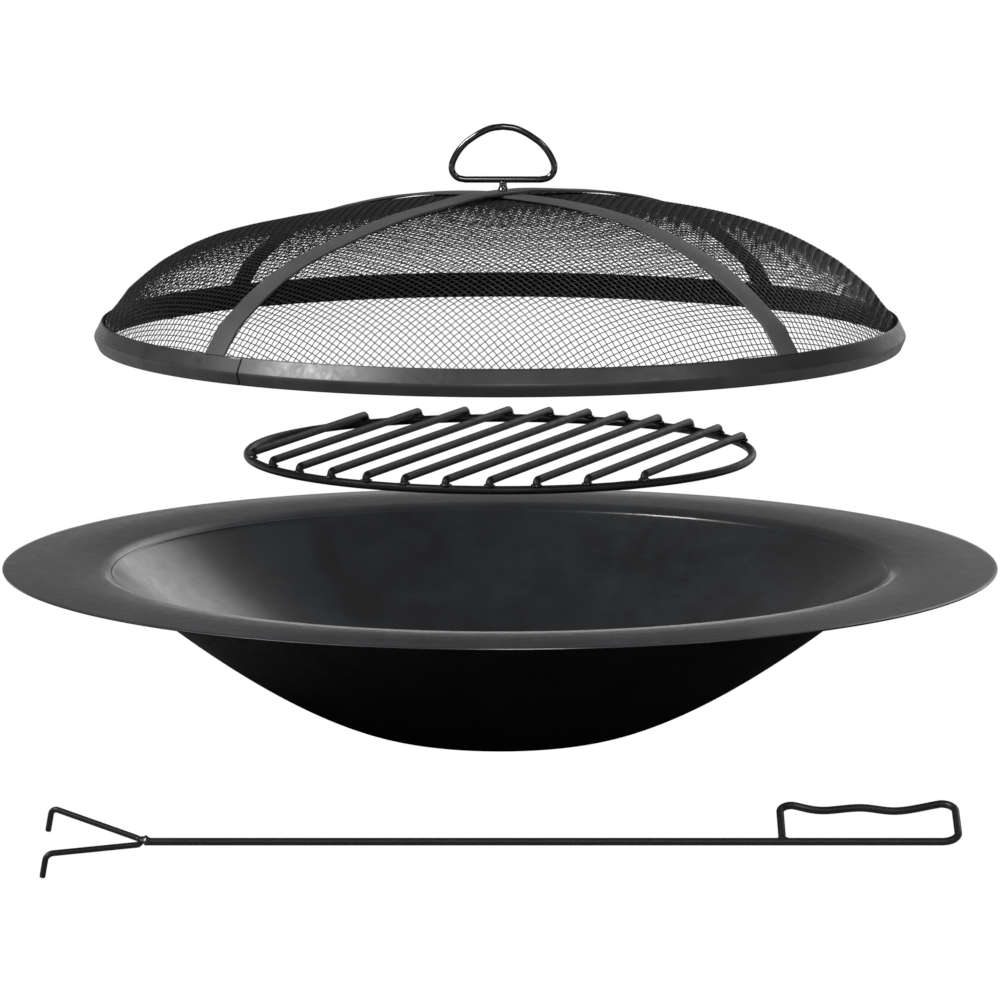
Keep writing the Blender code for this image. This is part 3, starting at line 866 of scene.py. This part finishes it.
FLOOR_PALE = "#a8a8a8"
FLOOR_REACH = 40
WALL_LEVELS = (0.20, 0.15)              # brightness of the surround low down and overhead
WINDOW_WAY = (0.420, 0.840, 0.343)      # towards the soft window behind the pieces
WINDOW_LEVEL = 1.5
SKIRTING_LEVEL = 1.5                    # thin bright band along the horizon
SUNS = (("key_left", (-0.85, -0.40, 0.85), 20, 4.0), ("key_front", (0.1, -0.88, 0.46), 16, 0.8),
        ("key_right", (0.9, -0.7, 0.8), 12, 0.4))       # name, direction, spread in degrees, power
EYE = (0, -4.61068, 0.88243)
EYE_DIP = 0.15133                       # radians that the camera looks down
LENS_MM = 218.98


def pale_floor():
    """Matt pale card for light that bounces off it, and plain white for the camera's own rays."""
    mesh = bpy.data.meshes.new("floor")
    mesh.from_pydata([(x * FLOOR_REACH, y * FLOOR_REACH, 0) for x, y in ((-1, -1), (1, -1), (1, 1), (-1, 1))],
                     [], [(0, 1, 2, 3)])
    made = bpy.data.objects.new("floor", mesh)
    made.location.z = -0.0002
    bpy.context.scene.collection.objects.link(made)
    card = bpy.data.materials.new("matt_card")
    card.use_nodes = True
    tree = card.node_tree
    shader = tree.nodes["Principled BSDF"]
    shader.inputs["Base Color"].default_value = linear(FLOOR_PALE)
    shader.inputs["Roughness"].default_value = 1.0
    shader.inputs["Specular IOR Level"].default_value = 0.0
    seen = add(tree, "LightPath", {}).outputs["Is Camera Ray"]
    lit = add(tree, "Emission", {"Color": (1, 1, 1, 1), "Strength": 1.0}).outputs["Emission"]
    shown = add(tree, "MixShader", {0: seen, 1: shader.outputs["BSDF"], 2: lit}).outputs["Shader"]
    tree.links.new(shown, tree.nodes["Material Output"].inputs["Surface"])
    mesh.materials.append(card)


def sun(name, direction, spread, power):
    """Broad even light from a direction."""
    light = bpy.data.lights.new(name, "SUN")
    light.angle = math.radians(spread)
    light.energy = power
    made = bpy.data.objects.new(name, light)
    made.rotation_euler = Vector(direction).to_track_quat("Z", "Y").to_euler()
    bpy.context.scene.collection.objects.link(made)


def studio_walls():
    """Dim even surround with a bright band along the horizon and one soft window."""
    world = bpy.data.worlds.new("studio")
    bpy.context.scene.world = world
    world.use_nodes = True
    tree = world.node_tree
    place = add(tree, "TexCoord", {}).outputs["Generated"]
    height = add(tree, "SeparateXYZ", {"Vector": place}).outputs["Z"]
    walls = add(tree, "MapRange", {"Value": height, "From Min": 0.10, "From Max": 0.60,
                                   "To Min": WALL_LEVELS[0], "To Max": WALL_LEVELS[1]},
                interpolation_type="SMOOTHSTEP").outputs["Result"]
    toward = add(tree, "VectorMath", {0: place, 1: WINDOW_WAY}, operation="DOT_PRODUCT")
    window = add(tree, "MapRange", {"Value": toward.outputs["Value"], "From Min": 0.93, "From Max": 0.995,
                                    "To Max": WINDOW_LEVEL},
                 interpolation_type="SMOOTHSTEP").outputs["Result"]
    skirting = add(tree, "MapRange", {"Value": height, "From Min": 0.03, "From Max": 0.06,
                                      "To Min": SKIRTING_LEVEL, "To Max": 0.0},
                   interpolation_type="SMOOTHSTEP").outputs["Result"]
    upper = add(tree, "Math", {0: walls, 1: window}, operation="ADD").outputs["Value"]
    level = add(tree, "Math", {0: upper, 1: skirting}, operation="ADD").outputs["Value"]
    tree.links.new(level, tree.nodes["Background"].inputs["Strength"])
    tree.nodes["Background"].inputs["Color"].default_value = (1, 1, 1, 1)


def long_lens():
    """Camera that looks slightly down at the pieces from far in front of them."""
    camera = bpy.data.cameras.new("camera")
    camera.lens = LENS_MM
    camera.sensor_width = 36
    camera.clip_end = 100
    made = bpy.data.objects.new("camera", camera)
    made.location = EYE
    made.rotation_euler.x = math.pi / 2 - EYE_DIP
    bpy.context.scene.collection.objects.link(made)
    bpy.context.scene.camera = made


# A plain display curve, so that the white floor stays white and the near blacks stay near black.
bpy.context.scene.view_settings.view_transform = "Standard"
pale_floor()
studio_walls()
for light in SUNS:
    sun(*light)
long_lens()
